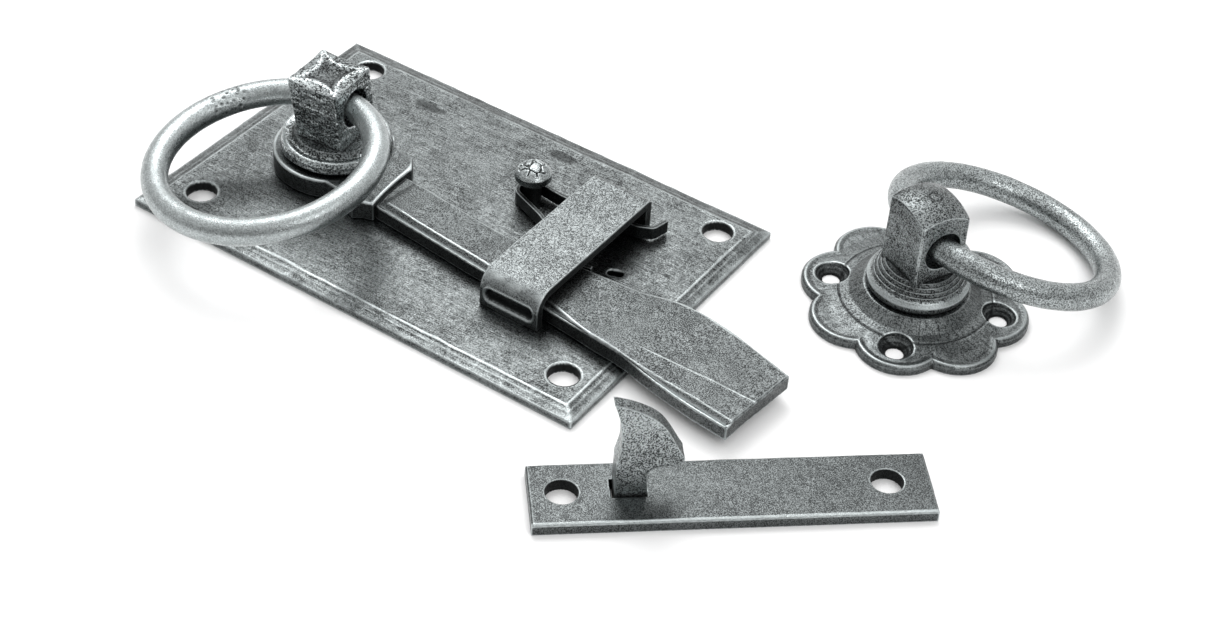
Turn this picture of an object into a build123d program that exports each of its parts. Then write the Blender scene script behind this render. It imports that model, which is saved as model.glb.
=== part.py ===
from build123d import *
import math
import os

# Ring-turn cottage latch in hammered pewter-finish iron, three units laid flat:
#   inside unit  - backplate, pivoting latch bar, keep, spring and ring handle
#   outside unit - scalloped rose with its own ring handle
#   catch        - narrow plate with the hook that the bar drops behind
# Millimetres, +Z away from the door.  The origin is the spindle axis on the
# back face of the backplate, +X runs toward the bar's tip, +Y is up on the door.

# ------------------------------------------------------------ driving dimensions
# Backplate
PLATE_L, PLATE_W, PLATE_T = 152.4, 101.0, 3.2
PLATE_X, PLATE_Y = 42.0, 2.1
BORDER_W, BORDER_T = 4.5, 2.3
SCREW_DX, SCREW_DY = 127.0, 77.0
SCREW_X, SCREW_Y = 42.8, 3.7
SCREW_R = 4.45
SLOT_X, SLOT_Y, SLOT_TURN = 93.6, 8.6, 20.0
SLOT_L, SLOT_W, SLOT_DEPTH = 4.8, 2.4, 2.2

# Spindle and the boss journals that turn in the plates
SPINDLE_AF = 8.0
JOURNAL_R = 6.95
JOURNAL_FIT = 0.05
FLARE = 0.5
TANG_AF = 14.0

# Hub on the inside journal, and the bar that is lapped into it
HUB_Z0, HUB_Z1 = 3.5, 9.4
HUB_R = 17.9
HUB_EDGE = 0.4
BAR_ANGLE = -6.1
BAR_Z0, BAR_Z1 = 3.6, 8.6
BAR_TIP = 156.5
BAR_NEAR = -11.0
BAR_FAR = 4.5
TONGUE_X0, TONGUE_X1 = 14.0, 30.0
TONGUE_Y0, TONGUE_Y1, TONGUE_Z1 = -8.5, 2.5, 6.2
# Plan of the hub's tail: its far side, its lip, the clipped horn and its near side
HUB_FAR = [(12.0, 12.5), (16.5, 9.9), (21.6, 9.5)]
HUB_LIP = [(24.9, 4.5), (25.0, -5.4), (26.4, -15.3)]
HUB_HORN = (23.3, -16.2)
HUB_NEAR = [(20.8, -18.1), (14.5, -16.0), (7.0, -15.6)]
# Plan of the bar, along its own axis
BAR_ROOT = 20.0
BAR_SWELL = [(114.0, BAR_NEAR), (130.0, -12.8), (146.0, -13.7)]
BAR_SHOULDER = [(BAR_TIP, 13.5), (142.0, 16.0), (124.5, 17.2), (115.0, 15.7), (106.0, 12.5)]
BAR_BACK = [(91.0, 9.8), (63.0, BAR_FAR)]
BAR_ARRIS = 0.5
BAR_LONG_EDGE = 8.0

# Inside boss and its washer
IN_YAW = 4.3
IN_SET, IN_LEAN = (0.6, 0.3), (-1.7, -1.0)
IN_COLLAR_Z0, IN_COLLAR_Z1 = 10.2, 15.2
IN_FOOT, IN_HEAD = (7.8, 8.8), (8.2, 8.85)
IN_TOP = 34.7
IN_NECK_R = 11.0
# Outline of the collar: radius, height above its foot
IN_COLLAR = [(15.9, 0.0), (16.4, 0.6), (16.2, 2.4), (15.5, 3.7), (14.9, 3.9), (13.6, 3.5), (12.6, 3.8)]
IN_COLLAR_TOP_R = 12.0
IN_SOCKET_Z1 = 17.2
IN_HOLE_Z = 25.75
RING_HOLE_R = 5.8
HOLE_FLARE = 0.7
HEAD_ARRIS = 0.45
IN_WASHER_R, IN_WASHER_Z0, IN_WASHER_Z1 = 10.0, 0.3, 1.3
IN_RECESS_R, IN_RECESS_Z = 10.5, 1.5
WASHER_ARRIS = 0.2

# Ring handles: rod radius, spine radius and how each ring lies in its boss
RING_R = 31.3
ROD_R = 3.85
RING_BACKSET = 0.44
IN_RING_HINGE = (0.0, -0.1, 25.7)
IN_RING_AZ, IN_RING_RISE, IN_RING_DROP = 0.45, 6.57, 5.9
OUT_RING_AZ, OUT_RING_RISE, OUT_RING_DROP = 154.5, -0.9, 18.9

# Keep over the bar
KEEP_X0, KEEP_X1 = 71.2, 90.6
KEEP_Y0, KEEP_Y1 = -25.3, 30.5
KEEP_TOP, KEEP_T = 14.5, 2.5
KEEP_R_NEAR, KEEP_R_FAR = 6.0, 1.6
TENON_L = 10.0

# Spring post and hairpin spring
POST_X, POST_Y = 56.0, 21.0
POST_R, POST_TENON_R, POST_HEAD_R = 2.6, 2.0, 5.4
POST_LIP_R, POST_LIP_Z = 0.8, 0.9
POST_HEAD_Z0, POST_HEAD_Z1 = 10.8, 16.3
SPRING_T = 1.2
SPRING_Z0, SPRING_Z1 = 4.0, 8.0
SPRING_LINE = [(94.9, 32.3), (93.8, 27.1), (89.8, 25.2), (65.0, 23.1), (52.4, 24.85),
               (52.4, 17.2), (64.7, 12.4), (75.5, 6.4), (84.6, 0.5), (90.0, 1.7)]
SPRING_BENDS = [2.0, 6.0, 40.0, 3.6, 3.6, 20.0, 40.0, 3.0]

# Rose
ROSE_X, ROSE_Y = 164.8, 53.5
ROSE_YAW = 16.0
LOBES = 8
LOBE_R, LOBE_C = 12.25, 20.25
ROSE_CORE_R = 25.25
ROSE_RIM, ROSE_ROLL = 2.8, 0.8
ROSE_DOME_R, ROSE_DOME_Z = 26.5, 4.0
ROSE_TOP = 6.7
ROSE_CONE_R0, ROSE_CONE_R1 = 18.8, 15.0
ROSE_LINE_R, ROSE_LINE_W, ROSE_LINE_Z = 21.7, 0.5, 3.3
ROSE_SCREWS = 4
ROSE_SCREW_R, ROSE_CSK_R, ROSE_PCD = 2.45, 4.85, 48.2
ROSE_RECESS_R, ROSE_RECESS_Z = 12.0, 2.4

# Outside boss and its washer
OUT_YAW = -26.0
OUT_COLLAR_Z0, OUT_COLLAR_R = 6.95, 14.5
# Outline of the collar's roll: radius from OUT_COLLAR_R, height above its foot
OUT_ROLL = [(-0.8, 0.0), (0.0, 1.2), (0.0, 2.6), (-0.8, 3.7)]
RIDGES = 4
RIDGE_R0, RIDGE_R1, RIDGE_FOOT = 13.3, 9.6, 4.0
RIDGE_CREST_R, RIDGE_CREST_Z = 0.6, 0.8
OUT_NECK_R = 8.0
OUT_HEAD_SUNK = 1.4
OUT_HEAD_Z0, OUT_TOP = 15.0, 37.6
OUT_FOOT, OUT_HEAD = (8.2, 8.0), (7.8, 8.0)
OUT_DOME_R, OUT_DOME_SHIFT = 18.3, -1.3
OUT_SOCKET_Z1 = 14.8
OUT_HOLE_Z = 24.2
OUT_WASHER_R, OUT_WASHER_Z0, OUT_WASHER_Z1 = 11.0, 1.2, 2.2

# Catch
CATCH_X, CATCH_Y, CATCH_ANGLE = 164.85, -43.86, 40.17
CATCH_L, CATCH_W, CATCH_T = 103.9, 21.6, 3.6
CATCH_ARRIS = 0.5
CATCH_SCREWS = (-43.45, 40.35)
CATCH_SCREW_Y, CATCH_SCREW_R = 0.6, 4.32
HOOK_Y0, HOOK_FOOT_W, HOOK_TIP_W, HOOK_TOP = -1.6, 6.2, 3.3, 36.0
HOOK_X0, HOOK_X1 = -30.3, -21.9
MORTISE_GAP_X, MORTISE_GAP_Y = 0.8, 0.5
# Side view of the hook: up its back from the heel, down its ramp, and under it
HOOK_TAPER_Z = 14.0
HOOK_BACK = [(-30.4, 14.8), (-29.5, 22.6), (-30.2, 29.0), (-32.0, 34.9)]
HOOK_RAMP = [(-32.0, 34.9), (-25.7, 32.5), (-20.3, 28.6), (-15.8, 21.2), (-13.1, 15.8)]
HOOK_UNDER = [(-13.1, 15.8), (-14.5, 14.1), (-19.2, 13.4), (-21.7, 12.2), (-22.4, 9.8)]

# How far a cut runs past the face it goes through
PAST = 1.0

BASE = (Align.CENTER, Align.CENTER, Align.MIN)
FAR_SIDE = (Align.CENTER, Align.MIN, Align.MIN)


# ------------------------------------------------------------------- shape helpers
def cyl(radius, z0, z1):
    """A cylinder on the Z axis."""
    return Pos(0, 0, z0) * Cylinder(radius, z1 - z0, align=BASE)


def cone(r0, r1, z0, z1):
    """A cone frustum on the Z axis."""
    return Pos(0, 0, z0) * Cone(r0, r1, z1 - z0, align=BASE)


def block(length, width, z0, z1):
    """A box centred on the Z axis."""
    return Pos(0, 0, z0) * Box(length, width, z1 - z0, align=BASE)


def frustum(half0, half1, z0, z1, lean=(0, 0)):
    """A tapering square block: half widths (x, y) at z0 and z1, its top leant over."""
    low = Pos(0, 0, z0) * Rectangle(2 * half0[0], 2 * half0[1])
    high = Pos(lean[0], lean[1], z1) * Rectangle(2 * half1[0], 2 * half1[1])
    return loft([low.face(), high.face()])


def turned(points):
    """A solid turned about Z from a closed (radius, z) outline."""
    outline = Polyline(*[(r, 0, z) for r, z in points], close=True)
    return revolve(make_face(outline), Axis.Z)


def prism(edges, z0, z1):
    """A flat outline in XY pulled up from z0 to z1."""
    return Pos(0, 0, z0) * extrude(make_face(edges), z1 - z0)


def ring_frame(azimuth, rise, drop):
    """Unit vectors of a ring: along its hinge, and from the hinge to its centre."""
    az, up, dn = (math.radians(v) for v in (azimuth, rise, drop))
    along = Vector(math.cos(up) * math.cos(az), math.cos(up) * math.sin(az), math.sin(up))
    level = Vector(math.sin(az), -math.cos(az), 0)
    normal = level.cross(along)
    inward = level * math.cos(dn) - normal * math.sin(dn)
    return along, inward


def ring(hinge, azimuth, rise, drop):
    """A closed round ring hung from the hinge point."""
    along, inward = ring_frame(azimuth, rise, drop)
    centre = Vector(*hinge) + inward * (RING_R - RING_BACKSET)
    plane = Plane(origin=centre, x_dir=along, z_dir=along.cross(inward))
    return plane * Torus(RING_R, ROD_R)


def boss_head(foot, top, z0, z1, hole_z, lean=(0, 0)):
    """The square head of a boss, sharp-cornered and cross-bored for its ring."""
    head = frustum(foot, top, z0, z1, lean)
    uprights = [e for e in head.edges() if abs(e.tangent_at(0.5).Z) > 0.9]
    head = chamfer(uprights, HEAD_ARRIS)
    up = (hole_z - z0) / (z1 - z0)
    centre = Pos(lean[0] * up, lean[1] * up, hole_z)
    bore = Rot(0, 90, 0) * Cylinder(RING_HOLE_R, 4 * (foot[0] + top[0]))
    mouth = Cone(RING_HOLE_R - HOLE_FLARE, RING_HOLE_R + HOLE_FLARE, 2 * HOLE_FLARE)
    face = foot[0] + (top[0] - foot[0]) * up
    for side in (1, -1):
        bore += Pos(side * face, 0, 0) * Rot(0, side * 90, 0) * mouth
    return head - centre * bore


def journal(z_end, z_shoulder, washer_z0):
    """The round journal with its peened end and the square spindle socket."""
    shaft = cyl(JOURNAL_R, z_end, z_shoulder)
    return shaft + cone(JOURNAL_R + FLARE, JOURNAL_R, washer_z0, washer_z0 + FLARE)


def washer(radius, z0, z1):
    """A retaining washer, countersunk for the peened end of its journal."""
    disc = cyl(radius, z0, z1) - cyl(JOURNAL_R, z0, z1)
    disc -= cone(JOURNAL_R + FLARE, JOURNAL_R, z0, z0 + FLARE)
    return chamfer(disc.edges().group_by(Axis.Z)[-1].sort_by(SortBy.LENGTH)[-1], WASHER_ARRIS)


# --------------------------------------------------------------------- inside unit
def at_bar(shape):
    """Place a shape drawn along the bar's own axis."""
    return Rot(0, 0, BAR_ANGLE) * shape


def at_post(shape):
    return Pos(POST_X, POST_Y, 0) * shape


def keep_tenons(z0, z1):
    """The keep's two riveted tenons."""
    mid_x = (KEEP_X0 + KEEP_X1) / 2
    feet = (KEEP_Y0 + KEEP_T / 2, KEEP_Y1 - KEEP_T / 2)
    return [Pos(mid_x, y, 0) * block(TENON_L, KEEP_T, z0, z1) for y in feet]


def backplate():
    rim = Pos(PLATE_X, PLATE_Y, 0) * block(PLATE_L, PLATE_W, 0, BORDER_T)
    edge = (PLATE_L / 2, PLATE_W / 2)
    inner = (edge[0] - BORDER_W, edge[1] - BORDER_W)
    plate = rim + Pos(PLATE_X, PLATE_Y, 0) * frustum(edge, inner, BORDER_T, PLATE_T)
    for sx in (-0.5, 0.5):
        for sy in (-0.5, 0.5):
            place = Pos(SCREW_X + sx * SCREW_DX, SCREW_Y + sy * SCREW_DY, 0)
            plate -= place * cyl(SCREW_R, -PAST, PLATE_T + PAST)
    plate -= cyl(JOURNAL_R + JOURNAL_FIT, -PAST, PLATE_T + PAST)
    plate -= cyl(IN_RECESS_R, -PAST, IN_RECESS_Z)
    plate -= at_post(cyl(POST_TENON_R, -PAST, PLATE_T + PAST))
    for tenon in keep_tenons(-PAST, PLATE_T + PAST):
        plate -= tenon
    slot = extrude(SlotOverall(SLOT_L, SLOT_W), SLOT_DEPTH + PAST)
    return plate - Pos(SLOT_X, SLOT_Y, PLATE_T - SLOT_DEPTH) * Rot(0, 0, SLOT_TURN) * slot


def bar_keep():
    outer = Rectangle(KEEP_Y1 - KEEP_Y0, KEEP_TOP - PLATE_T, align=(Align.MIN, Align.MIN))
    upper = outer.vertices().group_by(Axis.Y)[-1].sort_by(Axis.X)
    outer = fillet(upper[0], KEEP_R_NEAR)
    upper = outer.vertices().group_by(Axis.Y)[-1].sort_by(Axis.X)
    outer = fillet(upper[-1], KEEP_R_FAR)
    gap_w = KEEP_Y1 - KEEP_Y0 - 2 * KEEP_T
    gap = Rectangle(gap_w, KEEP_TOP - PLATE_T - KEEP_T, align=(Align.MIN, Align.MIN))
    upper = gap.vertices().group_by(Axis.Y)[-1].sort_by(Axis.X)
    gap = fillet(upper[0], KEEP_R_NEAR - KEEP_T)
    section = outer - Pos(KEEP_T, 0) * gap
    plane = Plane(origin=(KEEP_X0, KEEP_Y0, PLATE_T), x_dir=(0, 1, 0), z_dir=(1, 0, 0))
    strap = extrude(plane * section, KEEP_X1 - KEEP_X0)
    for tenon in keep_tenons(0, PLATE_T):
        strap += tenon
    return strap


def spring_post():
    """A rivet post with a domed head, its thin end closed over behind the plate."""
    rim_z = (POST_HEAD_Z0 + POST_HEAD_Z1) / 2
    height = POST_HEAD_Z1 - rim_z
    dome_r = (POST_HEAD_R ** 2 + height ** 2) / (2 * height)
    half = math.asin(POST_HEAD_R / dome_r) / 2
    crest = (dome_r * math.sin(half), POST_HEAD_Z1 - dome_r * (1 - math.cos(half)))
    skirt = Polyline((0, POST_HEAD_Z0), (POST_HEAD_R - POST_LIP_R, POST_HEAD_Z0),
                     (POST_HEAD_R, POST_HEAD_Z0 + POST_LIP_Z), (POST_HEAD_R, rim_z))
    dome = ThreePointArc((POST_HEAD_R, rim_z), crest, (0, POST_HEAD_Z1))
    axis = Line((0, POST_HEAD_Z1), (0, POST_HEAD_Z0))
    head = revolve(Plane.XZ * make_face([skirt, dome, axis]), Axis.Z)
    shank = cyl(POST_R, PLATE_T, POST_HEAD_Z0) + cyl(POST_TENON_R, 0, PLATE_T)
    return at_post(head + shank)


def hairpin_spring():
    """Flat strip on edge: hooked tail, anchor leg, bend round the post, pressure leg."""
    path = FilletPolyline(*SPRING_LINE, radius=SPRING_BENDS)
    section = Plane(origin=path @ 0, z_dir=path % 0, x_dir=(0, 0, 1))
    strip = sweep(section * Rectangle(SPRING_Z1 - SPRING_Z0, SPRING_T), path=path)
    return Pos(0, 0, (SPRING_Z0 + SPRING_Z1) / 2) * strip


def hub_outline():
    """The hub in plan: a disc whose tail flares to a clipped, straight-ended lip."""
    far = ThreePointArc(*HUB_FAR)
    end = Line(HUB_FAR[-1], HUB_LIP[0])
    lip = ThreePointArc(*HUB_LIP)
    horn = Polyline(HUB_LIP[-1], HUB_HORN, HUB_NEAR[0])
    near = ThreePointArc(*HUB_NEAR)
    root = Line(HUB_NEAR[-1], HUB_FAR[0])
    return make_face([far, end, lip, horn, near, root]) + Circle(HUB_R)


def tongue(z0, z1):
    """The bar's tongue, lapped under the hub's tail."""
    run = TONGUE_X1 - TONGUE_X0
    mid = (TONGUE_Y0 + TONGUE_Y1) / 2
    lap = Pos(TONGUE_X0 + run / 2, mid, 0) * block(run, TONGUE_Y1 - TONGUE_Y0, z0, z1)
    return at_bar(lap)


def bar_hub():
    hub = Pos(0, 0, HUB_Z0) * extrude(hub_outline(), HUB_Z1 - HUB_Z0)
    rim = hub.faces().sort_by(Axis.Z)[-1].outer_wire().edges()
    hub = chamfer(rim, HUB_EDGE)
    hub -= Rot(0, 0, IN_YAW) * block(TANG_AF, TANG_AF, HUB_Z0 - PAST, HUB_Z1 + PAST)
    return hub - tongue(HUB_Z0 - PAST, TONGUE_Z1)


def latch_bar():
    root = (BAR_ROOT, BAR_FAR)
    near = Polyline(root, (BAR_ROOT, BAR_NEAR), BAR_SWELL[0])
    swell = Spline(*BAR_SWELL, tangents=[(1, 0), (1, 0)])
    tip = Polyline(BAR_SWELL[-1], (BAR_TIP, BAR_SWELL[-1][1]), BAR_SHOULDER[0])
    shoulder = Spline(*BAR_SHOULDER)
    back = Polyline(BAR_SHOULDER[-1], *BAR_BACK, root)
    body = at_bar(prism([near, swell, tip, shoulder, back], BAR_Z0, BAR_Z1))
    body -= Pos(0, 0, HUB_Z0 - PAST) * extrude(hub_outline(), HUB_Z1 - HUB_Z0 + 2 * PAST)
    top_rim = body.faces().sort_by(Axis.Z)[-1].outer_wire().edges()
    body = chamfer(top_rim.filter_by(lambda e: e.length > BAR_LONG_EDGE), BAR_ARRIS)
    hub_core = Pos(0, 0, HUB_Z0) * extrude(hub_outline(), HUB_Z1 - HUB_Z0)
    return body + (tongue(BAR_Z0, TONGUE_Z1) & hub_core)


def inside_boss():
    z0, z1 = IN_COLLAR_Z0, IN_COLLAR_Z1
    outline = [(r, z0 + up) for r, up in IN_COLLAR]
    collar = turned([(0, z0), *outline, (IN_COLLAR_TOP_R, z1), (0, z1)])
    neck = cyl(IN_NECK_R, HUB_Z1, z0)
    tang = block(TANG_AF, TANG_AF, HUB_Z0, HUB_Z1)
    head = boss_head(IN_FOOT, IN_HEAD, z1, IN_TOP, IN_HOLE_Z, IN_LEAN)
    shaft = journal(IN_WASHER_Z0, HUB_Z0, IN_WASHER_Z0)
    boss = Pos(*IN_SET) * (head + collar) + neck + tang + shaft
    boss -= block(SPINDLE_AF, SPINDLE_AF, -PAST, IN_SOCKET_Z1)
    return Rot(0, 0, IN_YAW) * boss


def inside_washer():
    return washer(IN_WASHER_R, IN_WASHER_Z0, IN_WASHER_Z1)


def inside_ring():
    return ring(IN_RING_HINGE, IN_RING_AZ, IN_RING_RISE, IN_RING_DROP)


# -------------------------------------------------------------------- outside unit
def at_rose(shape):
    return Pos(ROSE_X, ROSE_Y, 0) * shape


def scalloped(offset, z0, z1):
    """The rose's outline of overlapping round lobes, inset by an offset."""
    outline = Circle(ROSE_CORE_R - offset)
    for i in range(LOBES):
        outline += Rot(0, 0, i * 360 / LOBES) * Pos(LOBE_C, 0) * Circle(LOBE_R - offset)
    return Pos(0, 0, z0) * extrude(outline, z1 - z0)


def rose_plate():
    rose = scalloped(0, 0, ROSE_RIM)
    rose = chamfer(rose.faces().sort_by(Axis.Z)[-1].outer_wire().edges(), ROSE_ROLL)
    rose += cone(ROSE_DOME_R, ROSE_CONE_R0, ROSE_RIM, ROSE_DOME_Z)
    rose += cone(ROSE_CONE_R0, ROSE_CONE_R1, ROSE_DOME_Z, ROSE_TOP)
    line = cyl(ROSE_LINE_R + ROSE_LINE_W / 2, ROSE_LINE_Z, ROSE_TOP)
    rose -= line - cyl(ROSE_LINE_R - ROSE_LINE_W / 2, ROSE_LINE_Z, ROSE_TOP)
    rose -= cyl(JOURNAL_R + JOURNAL_FIT, -PAST, ROSE_TOP + PAST)
    rose -= cyl(ROSE_RECESS_R, -PAST, ROSE_RECESS_Z)
    depth = ROSE_CSK_R - ROSE_SCREW_R
    screw = cyl(ROSE_SCREW_R, -PAST, ROSE_RIM + PAST)
    screw += cone(ROSE_SCREW_R, ROSE_CSK_R, ROSE_RIM - depth, ROSE_RIM)
    screw += cyl(ROSE_CSK_R, ROSE_RIM, ROSE_TOP)
    for i in range(ROSE_SCREWS):
        rose -= Rot(0, 0, i * 360 / ROSE_SCREWS) * Pos(ROSE_PCD / 2, 0, 0) * screw
    return at_rose(Rot(0, 0, ROSE_YAW) * rose)


def outside_boss():
    z0 = OUT_COLLAR_Z0
    steps = [(0, z0)] + [(OUT_COLLAR_R + out, z0 + up) for out, up in OUT_ROLL]
    run = (RIDGE_R0 - RIDGE_R1) / RIDGES
    rise = (OUT_HEAD_Z0 - z0 - RIDGE_FOOT) / RIDGES
    for i in range(RIDGES):
        r, z = RIDGE_R0 - i * run, z0 + RIDGE_FOOT + i * rise
        steps += [(r, z), (r - RIDGE_CREST_R * run, z + rise), (r - run, z + RIDGE_CREST_Z * rise)]
    steps += [(OUT_NECK_R, OUT_HEAD_Z0), (0, OUT_HEAD_Z0)]
    head = boss_head(OUT_FOOT, OUT_HEAD, OUT_HEAD_Z0 - OUT_HEAD_SUNK, OUT_TOP, OUT_HOLE_Z)
    head &= Pos(OUT_DOME_SHIFT, OUT_DOME_SHIFT, OUT_TOP - OUT_DOME_R) * Sphere(OUT_DOME_R)
    boss = head + turned(steps) + journal(OUT_WASHER_Z0, z0, OUT_WASHER_Z0)
    boss -= block(SPINDLE_AF, SPINDLE_AF, -PAST, OUT_SOCKET_Z1)
    return at_rose(Rot(0, 0, OUT_YAW) * boss)


def outside_washer():
    return at_rose(washer(OUT_WASHER_R, OUT_WASHER_Z0, OUT_WASHER_Z1))


def outside_ring():
    hinge = (ROSE_X, ROSE_Y, OUT_HOLE_Z)
    return ring(hinge, OUT_RING_AZ, OUT_RING_RISE, OUT_RING_DROP)


# --------------------------------------------------------------------------- catch
def at_catch(shape):
    return Pos(CATCH_X, CATCH_Y, 0) * Rot(0, 0, CATCH_ANGLE) * shape


def hook_foot(z0, z1, gap_x=0.0, gap_y=0.0):
    """The hook's foot where it passes through the plate, with any gap beside it."""
    length = HOOK_X1 - HOOK_X0 + gap_x
    width = HOOK_FOOT_W + gap_y
    mid = (HOOK_X1 - length / 2, HOOK_Y0 + HOOK_FOOT_W - width / 2)
    return Pos(mid[0], mid[1], 0) * block(length, width, z0, z1)


def catch_plate():
    edge = (CATCH_L / 2, CATCH_W / 2)
    shoulder = CATCH_T - CATCH_ARRIS
    inner = (edge[0] - CATCH_ARRIS, edge[1] - CATCH_ARRIS)
    plate = block(CATCH_L, CATCH_W, 0, shoulder) + frustum(edge, inner, shoulder, CATCH_T)
    for x in CATCH_SCREWS:
        plate -= Pos(x, CATCH_SCREW_Y, 0) * cyl(CATCH_SCREW_R, -PAST, CATCH_T + PAST)
    return at_catch(plate - hook_foot(-PAST, CATCH_T + PAST, MORTISE_GAP_X, MORTISE_GAP_Y))


def catch_hook():
    t = CATCH_T
    heel = Line((HOOK_X0, t), HOOK_BACK[0])
    back = Spline(*HOOK_BACK)
    ramp = Spline(*HOOK_RAMP)
    under = Spline(*HOOK_UNDER)
    foot = Polyline(HOOK_UNDER[-1], (HOOK_X1, t), (HOOK_X0, t))
    outer_y = HOOK_Y0 + HOOK_FOOT_W
    plane = Plane(origin=(0, outer_y, 0), x_dir=(1, 0, 0), z_dir=(0, -1, 0))
    blade = extrude(plane * make_face([heel, back, ramp, under, foot]), HOOK_FOOT_W)
    slope = math.degrees(math.atan((HOOK_FOOT_W - HOOK_TIP_W) / (HOOK_TOP - HOOK_TAPER_Z)))
    wedge = Box(CATCH_L, 2 * CATCH_W, 2 * HOOK_TOP, align=FAR_SIDE)
    taper = Pos(0, outer_y, HOOK_TAPER_Z) * Rot(slope, 0, 0) * wedge
    return at_catch(blade - taper + hook_foot(0, t))


# -------------------------------------------------------------------------- export
PIECES = [backplate, bar_keep, spring_post, hairpin_spring, bar_hub, latch_bar,
          inside_boss, inside_washer, inside_ring, rose_plate, outside_boss,
          outside_washer, outside_ring, catch_plate, catch_hook]

os.makedirs("parts", exist_ok=True)
for piece in PIECES:
    export_step(piece(), f"parts/{piece.__name__}.step")
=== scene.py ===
import math
from itertools import product

import bmesh
import bpy
import numpy as np
from mathutils import Matrix, Vector


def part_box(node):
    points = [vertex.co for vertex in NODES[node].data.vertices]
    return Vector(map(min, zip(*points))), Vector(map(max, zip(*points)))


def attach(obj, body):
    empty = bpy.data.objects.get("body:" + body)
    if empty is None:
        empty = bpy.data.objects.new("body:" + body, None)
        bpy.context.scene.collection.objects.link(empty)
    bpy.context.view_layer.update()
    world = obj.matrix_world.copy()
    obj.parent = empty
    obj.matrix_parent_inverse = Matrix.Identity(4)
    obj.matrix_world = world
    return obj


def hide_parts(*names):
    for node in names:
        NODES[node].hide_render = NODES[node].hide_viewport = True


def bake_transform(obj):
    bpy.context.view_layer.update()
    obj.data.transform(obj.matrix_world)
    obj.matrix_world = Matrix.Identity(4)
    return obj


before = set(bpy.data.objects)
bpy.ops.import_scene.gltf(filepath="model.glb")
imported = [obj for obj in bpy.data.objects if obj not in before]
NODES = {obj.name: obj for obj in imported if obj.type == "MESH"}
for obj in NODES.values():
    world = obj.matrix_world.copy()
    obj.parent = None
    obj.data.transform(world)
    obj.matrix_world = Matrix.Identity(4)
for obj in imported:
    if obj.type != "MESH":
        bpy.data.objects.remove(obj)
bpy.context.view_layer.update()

MM = 0.001
WIDE_ROUNDS = 10
# Light grey for edges: rubbed wear and painted highlights.
RUBBED_AND_GLINT = 0.62

# Sizes from the CAD, in millimetres and degrees
BAR_ANGLE = -6.1
BAR_NEAR_Y, BAR_ROOT_X = -11.0, 27.5
BAR_FAR_EDGE = ([20.0, 63.0, 91.0, 106.0, 115.0, 124.5, 142.0, 156.5],
                [4.5, 4.5, 9.8, 12.5, 15.7, 17.2, 16.0, 13.5])
BAR_BEVEL, BAR_BEVEL_ENDS = 2.8, (88.0, 112.0)
FACET_START = (118.0, -5.6)
PLATE_HOLES = [(42.8 + sx * 63.5, 3.7 + sy * 38.5) for sx, sy in product((-1, 1), repeat=2)]
PLATE_HOLE_R = 4.45
BORDER_W = 4.5
SLOT, SLOT_HALF_RUN = (93.6, 8.6, 20.0), 1.2
SCARS = [(51.5, 43.5), (5.2, 39.1)]
HUB_RIM_R, HUB_LIP_X, HUB_HORN = 17.4, 24.4, (24.0, -16.0)
KEEP_MID_X, KEEP_NEAR_Y = 80.9, -20.0
DENT_Z, DENT_HALF_RUN = 7.6, 6.3
IN_YAW, IN_TOP, IN_TOP_CENTRE = 4.3, 34.7, (-1.02, -0.78)
IN_TOP_HALF = (8.2, 8.85)
IN_COLLAR_CENTRE, IN_COLLAR_TOP, IN_COLLAR_R = (0.6, 0.35), 15.2, 15.4
STAR_FACET, STAR_FALL, STAR_SINK = 0.40, 0.55, 1.1
OUT_COLLAR_TOP, OUT_ROLL_Z = 14.8, 10.0
DIMPLE_SHIFT, DIMPLE_R = (0.6, 0.8), 1.7
RING_PATCH = (-25.0, -17.0, 24.5)
ROSE_CENTRE, ROSE_YAW = (164.8, 53.5), 16.0
LOBES, LOBE_R, LOBE_C = 8, 12.25, 20.25
ROSE_SCREWS, ROSE_SCREW_C, ROSE_LINE_R = 4, 24.1, 21.7
CATCH_CENTRE, CATCH_ANGLE = (164.85, -43.86), 40.17
CATCH_HOLES, CATCH_HOLE_R = [(-43.45, 0.6), (40.35, 0.6)], 4.32
CATCH_NEAR_Y = -10.5
MORTISE_X, MORTISE_Y = (-32.2, -21.4), (-2.6, 5.0)
POST_CENTRE = (56.0, 21.0)

# Finish, lights and camera
OCTAVES = 3
BUMP_STRENGTH, BUMP_DEPTH = 0.35, 0.08 * MM
BLACK, FLOOR_WHITE, FLOOR_SIZE = 0.012, 0.93, 3.0
SKY_SIDE, SKY_DIM, SKY_BRIGHT = (-0.25, 0.45, 0.86), 0.35, 1.25
LIGHT_AIM = (0.1, 0.0, 0.0)
CAMERA_TURN, CAMERA_DISTANCE, CAMERA_LENS = (31.41, 40.79, 4.33), 0.663, 71.15
CAMERA_TARGET = Vector((99.71, -4.30, 0.0)) * MM


# ------------------------------------------------------------------ noise in numpy
def hashed(cells, salt):
    """Repeatable values from 0 to 1 for integer cells, one per row."""
    c = cells.astype(np.uint64)
    n = c[:, 0] * np.uint64(73856093) ^ c[:, 1] * np.uint64(19349663)
    n ^= c[:, 2] * np.uint64(83492791) ^ np.uint64(salt * 2654435761 + 97)
    n = (n ^ (n >> np.uint64(15))) * np.uint64(2246822519)
    n = (n ^ (n >> np.uint64(13))) * np.uint64(3266489917)
    n ^= n >> np.uint64(16)
    return (n & np.uint64(0xFFFFFF)).astype(float) / 0xFFFFFF


def cells_noise(points, size, seed):
    """Distance to the nearest and the next nearest of scattered points, over size."""
    q = points / size + 512.0
    base = np.floor(q).astype(np.int64)
    near = np.full(len(q), 9.0)
    far = np.full(len(q), 9.0)
    for step in product((-1, 0, 1), repeat=3):
        c = base + np.array(step)
        spot = np.stack([hashed(c, seed * 3 + k) for k in range(3)], axis=1)
        d = np.linalg.norm(c + spot - q, axis=1)
        far = np.minimum(far, np.maximum(near, d))
        near = np.minimum(near, d)
    return near, far


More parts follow.
